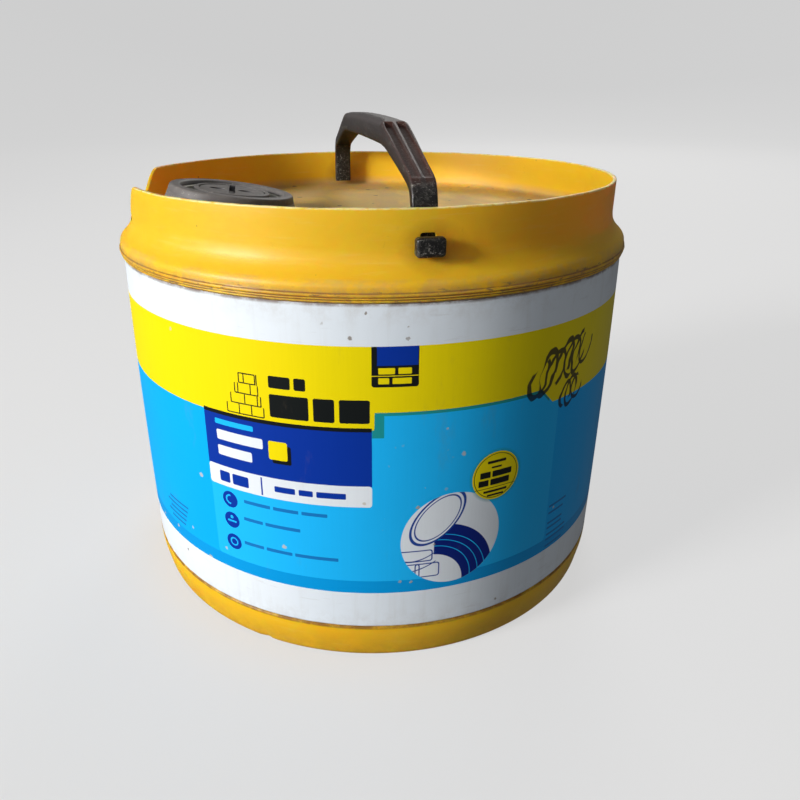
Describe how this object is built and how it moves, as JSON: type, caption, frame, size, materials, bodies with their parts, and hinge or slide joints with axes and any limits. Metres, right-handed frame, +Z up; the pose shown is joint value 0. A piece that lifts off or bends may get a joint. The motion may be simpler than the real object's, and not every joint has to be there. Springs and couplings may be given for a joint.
{
  "type": "tight-head pail",
  "caption": "Round squat tight-head plastic pail with raised collar, swinging strap handle and a tilted pull-up pouring spout closure.",
  "frame": {"origin": "middle of the base, on the surface the pail stands on", "axes": "+Z up along the body, +Y along the handle's swing axis, the closure on the -X side"},
  "size_m": [0.274, 0.274, 0.2484],
  "materials": {
    "white_plastic": "satin blow-moulded polyethylene",
    "label_film": "satin printed film",
    "yellow_plastic": "satin, scuffed",
    "black_plastic": "dusty, scratched",
    "grey_plastic": "dusty",
    "rubber": "matt",
    "natural_plastic": "natural polyethylene"
  },
  "bodies": {
    "pail": {"body_tube": "white_plastic", "label_wrap": "label_film", "bottom_end": "yellow_plastic", "top_end": "yellow_plastic", "closure_ring": "grey_plastic", "neck_gasket": "rubber", "spout_bellows": "natural_plastic"},
    "handle": {"handle": "black_plastic"},
    "spout": {"spout_nozzle": "natural_plastic", "tear_seal": "natural_plastic"},
    "cap_seal": {"cap_seal": "natural_plastic"},
    "cap": {"spout_cap": "grey_plastic"},
    "tab_left": {"pull_tab_left": "grey_plastic"},
    "tab_right": {"pull_tab_right": "grey_plastic"}
  },
  "joints": [
    {"name": "handle_swing", "type": "hinge", "parent": "pail", "child": "handle", "pos_m": [0, 0, 0.2042], "axis": [0, 1, 0], "range_deg": [-75, 88]},
    {"name": "spout_pull", "type": "slide", "parent": "pail", "child": "spout", "axis": [0.1392, 0, 0.9903], "range_m": [0, 0.034], "deforming": ["spout_bellows"]},
    {"name": "cap_lift", "type": "slide", "parent": "spout", "child": "cap_seal", "axis": [0.1392, 0, 0.9903], "range_m": [0, 0.00625]},
    {"name": "cap_turn", "type": "hinge", "parent": "cap_seal", "child": "cap", "pos_m": [-0.0787, 0, 0.1957], "axis": [0.1392, 0, 0.9903], "range_deg": [0, 900]},
    {"name": "tab_left_lift", "type": "hinge", "parent": "cap", "child": "tab_left", "pos_m": [-0.07933, 0, 0.20993], "axis": [0, 1, 0], "range_deg": [0, 90]},
    {"name": "tab_right_lift", "type": "hinge", "parent": "cap", "child": "tab_right", "pos_m": [-0.07418, 0, 0.2092], "axis": [0, -1, 0], "range_deg": [0, 90]}
  ],
  "couplings": [
    {"joint": "cap_lift", "follows": "cap_turn", "m_per_rad": 0.00039789}
  ]
}
